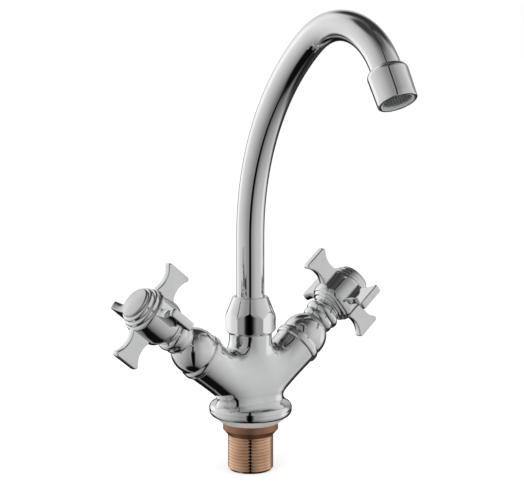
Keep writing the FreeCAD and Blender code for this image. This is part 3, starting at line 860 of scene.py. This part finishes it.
LOOKS = {
    "chrome_body": surface("chrome_cast", [(0.84, 0.845, 0.85), (0.88, 0.885, 0.89)], (0.05, 0.08), 1.0,
                           bump=0.012, bump_scale=180.0),
    "chrome_trim": surface("chrome_turned", [(0.85, 0.855, 0.86), (0.89, 0.893, 0.896)], (0.03, 0.055), 1.0,
                           bump=0.004),
    "chrome_tube": surface("chrome_drawn", [(0.85, 0.855, 0.86), (0.89, 0.893, 0.896)], (0.03, 0.05), 1.0,
                           bump=0.004),
    "chrome_handle": surface("chrome_die_cast", [(0.84, 0.845, 0.85), (0.88, 0.884, 0.888)],
                             (0.04, 0.07), 1.0, bump=0.008),
    "chrome_cap": surface("chrome_satin", [(0.66, 0.66, 0.66), (0.71, 0.71, 0.71)], (0.16, 0.24), 1.0,
                          bump=0.02, bump_scale=700.0),
    "raw_brass": surface("red_brass", [(0.72, 0.44, 0.28), (0.85, 0.55, 0.37)], (0.07, 0.12), 1.0,
                         patch=110.0, bump=0.03, bump_scale=900.0,
                         cast=(CAST_FROM_Z * MM, ((0.41, 0.21, 0.13), (0.52, 0.29, 0.19)), 0.46)),
    "machined_brass": surface("yellow_brass", [(0.70, 0.50, 0.25), (0.80, 0.62, 0.34)], (0.18, 0.30), 1.0,
                              bump=0.05, bump_scale=800.0),
    "gasket_rubber": surface("pale_rubber", [(0.68, 0.63, 0.59), (0.78, 0.74, 0.70)], (0.45, 0.60),
                             bump=0.10, bump_scale=900.0),
    # Also used for the black disc of painted shade behind the outlet's screen
    "black_rubber": surface("black_rubber", [(0.015, 0.015, 0.016), (0.03, 0.03, 0.03)], (0.45, 0.65),
                            bump=0.10, bump_scale=1200.0),
    "white_plastic": surface("white_acetal", [(0.78, 0.78, 0.76), (0.84, 0.84, 0.82)], (0.35, 0.5),
                             bump=0.03),
    "grey_plastic": surface("grey_acetal", [(0.60, 0.61, 0.62), (0.68, 0.69, 0.70)], (0.32, 0.45),
                            bump=0.03),
    "ceramic": surface("lapped_ceramic", [(0.84, 0.83, 0.80), (0.90, 0.89, 0.86)], (0.12, 0.2), bump=0.01,
                       coat=0.3),
    "spring_steel": surface("spring_steel", [(0.46, 0.47, 0.48), (0.58, 0.58, 0.59)], (0.25, 0.38), 1.0,
                            bump=0.04),
    "steel_screen": surface("woven_steel", [(0.42, 0.43, 0.44), (0.56, 0.57, 0.58)], (0.25, 0.4), 1.0,
                            bump=0.03),
}

for part in frame["record"]["subparts"]:
    shown = frame["nodes"][part["node"]]
    shown.data.materials.clear()
    shown.data.materials.append(LOOKS[part["material_slot"]])


# -------------------- outlines of the turned pieces
# Each point is (radius, height), and a pair of points is an arc through the first to the second.
FLANGE = ((BOSS_R + FIT, FLANGE_FLOOR_Z), (23.7, FLANGE_FLOOR_Z), ((24.9, 5.7), (25.3, 8.2)),
          ((25.2, 10.4), FLANGE_DOME[0]), ((21.0, 12.9), (BOSS_R + FIT, FLANGE_TOP_Z)))
GASKET = ((SPIGOT_R + FIT, 0), (18.0, 0), (22.6, 3.8), (22.6, FLANGE_FLOOR_Z),
          (SPIGOT_R + FIT, FLANGE_FLOOR_Z))
NUT = ((NUT_BORE_R, 55.4), (13.4, 55.4), (15.7, 57.8), (15.7, 65.4), (10.9, 77.4),
       ((10.7, 77.85), (10.2, 78.0)), (NUT_LIP_R, 78.0), (NUT_LIP_R, 69.6), (NUT_BORE_R, 69.6))
OUTLET = ((9.3, 0), (10.6, 0), (10.95, 0.4), (11.35, 16.8), ((10.9, 18.4), (9.3, 20.0)), (8.65, 20.0),
          (8.65, 18.8), (9.88, 18.8), (9.88, 1.0), (9.3, 1.0))
# Outline of the black disc of painted shade behind the screen
SHADE_DISC = ((0, SHADE_DISC_LOW), (3.0, SHADE_DISC_LOW), (3.3, 2.9), (5.4, 2.9), (5.7, SHADE_DISC_LOW),
           (SHADE_DISC_R, SHADE_DISC_LOW), (SHADE_DISC_R, SHADE_DISC_HIGH), (0, SHADE_DISC_HIGH))
DOME = ((13.0, 44.1), (14.3, 44.1), ((14.75, 44.7), (14.8, 46.2)), ((14.7, 47.9), (14.2, 48.9)),
        (13.75, 49.6), ((13.2, 58.0), (8.9, 64.2)), (8.5, 64.6), (SPINDLE_HOLE_R, 64.6),
        (SPINDLE_HOLE_R, 62.6), (8.3, 62.4), ((11.6, 58.0), (13.0, 50.6)))
BEAD = ((SPINDLE_HOLE_R, 64.65), (9.4, 64.65), ((10.2, 66.9), (9.8, 69.0)), ((11.15, 71.6), (10.3, 74.0)),
        (9.6, 74.7), (8.8, 74.8), (8.8, 75.7), (SPINDLE_HOLE_R, 75.7))
HUB = ((SPLINE_HOLE_R, HUB_LOW), (8.3, HUB_LOW), (8.7, 76.3), ((9.7, 76.8), (10.4, 77.7)), (10.4, 78.1),
       (11.2, 78.1), ((12.2, 78.9), (12.6, 79.7)), (12.6, 80.1), (13.2, 80.1), ((13.7, 80.7), (14.0, 81.6)),
       ((14.3, 82.6), (HUB_R, 84.4)), (HUB_R, 95.6), ((14.1, 97.6), (13.2, HUB_TOP)), (8.6, HUB_TOP),
       (8.6, 94.4), (SCREW_HOLE_R, 94.4), (SCREW_HOLE_R, 93.1), (SPLINE_HOLE_R, 93.1))
COLLAR = ((SEAT_R, 96.0), (SEAT_R + 0.01, HUB_TOP), (12.4, HUB_TOP), (12.4, 98.9), (12.9, 98.9),
          (12.9, 99.9), ((12.5, 101.0), (11.6, 101.3)), (11.0, 101.3), (11.0, 101.6), (11.4, 101.6),
          (11.4, 102.9), ((10.9, 103.9), (9.8, 104.2)), (SEAT_R, 104.2))
CAP = ((0, 98.0), (CAP_STEM_R, 98.0), (CAP_STEM_R, 102.0), (8.5, 102.0), (8.5, 104.25), (9.4, 104.25),
       (9.4, 104.45), (CAP_RIM_R, 104.6), (CAP_RIM_R, 104.9), ((9.4, 105.7), (8.5, 106.15)),
       ((4.4, 106.95), (0, 107.2)))


# -------------------- pieces
body_piece("body_casting", "chrome_body", "tap_body", "mixer_body")
shell_piece("flange_plate", lathe(*FLANGE), "chrome_trim", "tap_body", "base_flange")
shell_piece("base_seal", lathe(*GASKET), "gasket_rubber", "tap_body", "base_gasket")
thread_piece("shank_thread", "raw_brass", "tap_body", "threaded_shank")
shell_piece("spout_nut_hex", hex_turned(*NUT, flats=NUT_FLATS, crown=NUT_CROWN, turn=NUT_TURN),
            "chrome_trim", "tap_body", "spout_nut")
shell_piece("swan_neck", spout_shell(), "chrome_tube", "spout", "spout_tube")

outlet = outlet_place()
shell_piece("outlet_shell", placed(lathe(*OUTLET), outlet), "chrome_trim", "spout", "aerator_shell")
shell_piece("outlet_mesh", placed(woven_disc(MESH_R, MESH_PITCH, MESH_WIRE_R, MESH_HEIGHT), outlet),
            "steel_screen", "spout", "aerator_screen")
# Black disc of painted shade behind the screen, making the inside of the outlet's cup dark
shell_piece("painted_shade_disc", placed(lathe(*SHADE_DISC, soft=0.08), outlet), "black_rubber", "spout")

for side_name, side, turn in SIDES:
    stand = valve_place(side)
    moving = side_name + "_handle"
    shell_piece(side_name + "_dome", placed(lathe(*DOME, soft=0.1), stand),
                "chrome_trim", "tap_body", side_name + "_valve_shroud")
    shell_piece(side_name + "_bead", placed(lathe(*BEAD, soft=0.1), stand),
                "chrome_trim", "tap_body", side_name + "_neck_bead")
    shell_piece(side_name + "_cross", placed(handle_shell(turn), stand),
                "chrome_handle", moving, side_name + "_cross_handle")
    shell_piece(side_name + "_collar", placed(lathe(*COLLAR, soft=0.1), stand),
                "chrome_handle", moving, side_name + "_cap_ring")
    shell_piece(side_name + "_cap", placed(lathe(*CAP, soft=0.1), stand),
                "chrome_cap", moving, side_name + "_index_cap")


# -------------------- floor, light and camera
# Places are in metres.
CAMERA_AT = Vector((-0.496005, -0.710096, 0.225449))
AIM_AT = Vector((0.005753, -0.004089, 0.111810))
LENS_MM = 98.99
SENSOR_MM = 36.0

# The studio has its own fixed front and right. Its angles are in degrees: around from the front to
# the right, and up from level. Shown greys are from 0 to 1.
FRONT = Vector((-0.5793, -0.8151, 0.0))
RIGHT = Vector((0.8151, -0.5793, 0.0))
PLAIN_LEVEL = 0.72               # light on everything that isn't a mirror
WALLS = ((-180, .76), (-165, .80), (-150, .87), (-132, .93), (-110, .86), (-60, .73), (-25, .58), (20, .60),
         (45, .73), (60, .76), (90, .79), (105, .82), (118, .86), (126, .78), (134, .58), (145, .50),
         (158, .58), (180, .76))                          # (around, shown grey)
HEIGHTS = ((-90, .03), (-80, .035), (-75, .12), (-67, .30), (-60, .42), (-52, .55), (-44, .64),
           (-37, .72), (-29, .80), (-18, .88), (-9, .94), (5, 1.0), (15, .97), (30, .92), (38, .88),
           (46, .74), (53, .60), (60, .45), (66, .26), (70, .17), (90, .12))     # (up, share of the walls)
LOW_SLOT = ((-13, 1.0), (-9, .03), (5, .03), (13, 1.0))   # (around, share), dark below level
SLOT_FADE = ((0, 0.0), (12, 1.0), (90, 1.0))              # (up, share)
SLIT = ((-7, 1.0), (-5, .03), (2, .03), (4, 1.0))         # (around, share), dark at every height
FLAGS = ((-75, -84, 20, 5, .05), (140, -55, 17, 7, .12), (150, 52, 20, 9, .20), (-172, 50, 14, 8, .18),
         (-142, -30, 12, 6, .25), (-131, 2, 14, 8, .96), (108, -12, 10, 7, .88), (-168, -16, 20, 5, .07),
         (168, -16, 20, 5, .07), (-155, -45, 15, 7, .05), (150, -30, 20, 8, .20),
         (-95, 70, 14, 7, .22))                           # (around, up, radius, soft edge, shown grey)

LAMPS_AIM = Vector((0, 0, 0.1))
FLOOR_Z = -0.0302
FLOOR_REACH = 30.0
FLOOR_TONES = (0.80, 0.83)
FLOOR_GLOW = 0.45                # light added to the floor where it is seen


def grey(shown, plating=0.87):
    """Light that chrome reflects as the given display grey."""
    return ((shown + 0.055) / 1.055) ** 2.4 / plating


def math_node(tree, operation, first, second=0.0, third=0.0):
    """Output of a sum on up to three inputs."""
    return wire(tree, "ShaderNodeMath", {0: first, 1: second, 2: third}, operation=operation).outputs[0]


def studio_light():
    """World: white to the camera, a soft studio to metal, plain light to everything else."""
    world = bpy.data.worlds.new("studio")
    bpy.context.scene.world = world
    world.use_nodes = True
    tree = world.node_tree
    tree.nodes.clear()
    toward = wire(tree, "ShaderNodeTexCoord").outputs["Generated"]

    def along(direction):
        return wire(tree, "ShaderNodeVectorMath", {0: toward, 1: direction},
                    operation="DOT_PRODUCT").outputs["Value"]

    def by_turn(stops):                         # stops are (degrees around, level)
        return ramp(tree, around, [(degrees / 360 + 0.5, level) for degrees, level in stops])

    def by_height(stops):                       # stops are (degrees up, level)
        return ramp(tree, height, [(degrees / 180 + 0.5, level) for degrees, level in stops])

    around = math_node(tree, "ARCTAN2", along(RIGHT), along(FRONT))
    around = math_node(tree, "MULTIPLY_ADD", around, 0.5 / math.pi, 0.5)
    height = math_node(tree, "ARCSINE", along(Vector((0, 0, 1))))
    height = math_node(tree, "MULTIPLY_ADD", height, 1 / math.pi, 0.5)
    walls = by_turn([(degrees, grey(shown)) for degrees, shown in WALLS])
    light = math_node(tree, "MULTIPLY", walls, by_height(HEIGHTS))
    slot = math_node(tree, "MAXIMUM", by_turn(LOW_SLOT), by_height(SLOT_FADE))
    slot = math_node(tree, "MULTIPLY", slot, by_turn(SLIT))
    light = math_node(tree, "MULTIPLY", light, slot)
    for turn, rise, radius, soft, level in FLAGS:
        a, e = math.radians(turn), math.radians(rise)
        middle = math.cos(e) * (math.cos(a) * FRONT + math.sin(a) * RIGHT) + Vector((0, 0, math.sin(e)))
        mask = wire(tree, "ShaderNodeMapRange",
                    {"Value": along(middle), "From Min": math.cos(math.radians(radius + soft)),
                     "From Max": math.cos(math.radians(radius - soft)), "To Min": 0.0, "To Max": 1.0},
                    interpolation_type="SMOOTHSTEP").outputs["Result"]
        less = math_node(tree, "SUBTRACT", grey(level), light)
        light = math_node(tree, "MULTIPLY_ADD", less, mask, light)
    path = wire(tree, "ShaderNodeLightPath").outputs
    seen = math_node(tree, "MAXIMUM", path["Is Camera Ray"], path["Is Transmission Ray"])
    plain = math_node(tree, "MULTIPLY_ADD", seen, 1.0 - PLAIN_LEVEL, PLAIN_LEVEL)
    change = math_node(tree, "SUBTRACT", light, plain)
    strength = math_node(tree, "MULTIPLY_ADD", change, path["Is Glossy Ray"], plain)
    sky = wire(tree, "ShaderNodeBackground", {"Color": (1, 1, 1, 1), "Strength": strength})
    wire(tree, "ShaderNodeOutputWorld", {"Surface": sky.outputs["Background"]})


def softbox(name, at, size, power):
    """Area lamp aimed at the tap, which its chrome doesn't mirror."""
    lamp = bpy.data.lights.new(name, "AREA")
    lamp.shape = "RECTANGLE"
    lamp.size, lamp.size_y = size
    lamp.energy = power
    thing = bpy.data.objects.new(name, lamp)
    thing.location = at
    thing.rotation_euler = (LAMPS_AIM - Vector(at)).to_track_quat("-Z", "Y").to_euler()
    thing.visible_glossy = False
    bpy.context.scene.collection.objects.link(thing)


def floor_material():
    """Pale matte floor that keeps shadows, lifted towards white where it is seen."""
    material = bpy.data.materials.new("pale_floor")
    material.use_nodes = True
    tree = material.node_tree
    tree.nodes.clear()
    place = wire(tree, "ShaderNodeTexCoord").outputs["Object"]
    tone = ramp(tree, noise(tree, place, 5.0, 2.0), zip((0.3, 0.7), FLOOR_TONES))
    matte = wire(tree, "ShaderNodeBsdfDiffuse", {"Color": tone})
    path = wire(tree, "ShaderNodeLightPath").outputs
    seen = math_node(tree, "MAXIMUM", path["Is Camera Ray"], path["Is Transmission Ray"])
    seen = math_node(tree, "MAXIMUM", seen, path["Is Glossy Ray"])
    strength = math_node(tree, "MULTIPLY", seen, FLOOR_GLOW)
    glow = wire(tree, "ShaderNodeEmission", {"Color": (1, 1, 1, 1), "Strength": strength})
    both = wire(tree, "ShaderNodeAddShader", {0: matte.outputs[0], 1: glow.outputs[0]})
    wire(tree, "ShaderNodeOutputMaterial", {"Surface": both.outputs[0]})
    return material


studio_light()
softbox("key", (-1.5, -0.7, 1.3), (1.2, 1.2), 9.0)        # place and size in metres, power in watts
softbox("fill", (0.9, -1.6, 0.9), (1.4, 1.4), 7.0)

floor_mesh = bpy.data.meshes.new("floor")
corners = [(x * FLOOR_REACH, y * FLOOR_REACH, FLOOR_Z) for x, y in ((-1, -1), (1, -1), (1, 1), (-1, 1))]
floor_mesh.from_pydata(corners, [], [(0, 1, 2, 3)])
floor_mesh.materials.append(floor_material())
floor = bpy.data.objects.new("floor", floor_mesh)
bpy.context.scene.collection.objects.link(floor)
floor.visible_glossy = False

lens = bpy.data.cameras.new("camera")
lens.sensor_fit = "HORIZONTAL"
lens.sensor_width = SENSOR_MM
lens.lens = LENS_MM
lens.clip_start = 0.01
camera = bpy.data.objects.new("camera", lens)
camera.location = CAMERA_AT
camera.rotation_euler = (AIM_AT - CAMERA_AT).to_track_quat("-Z", "Y").to_euler()
bpy.context.scene.collection.objects.link(camera)
bpy.context.scene.camera = camera
bpy.context.scene.view_settings.view_transform = "Standard"
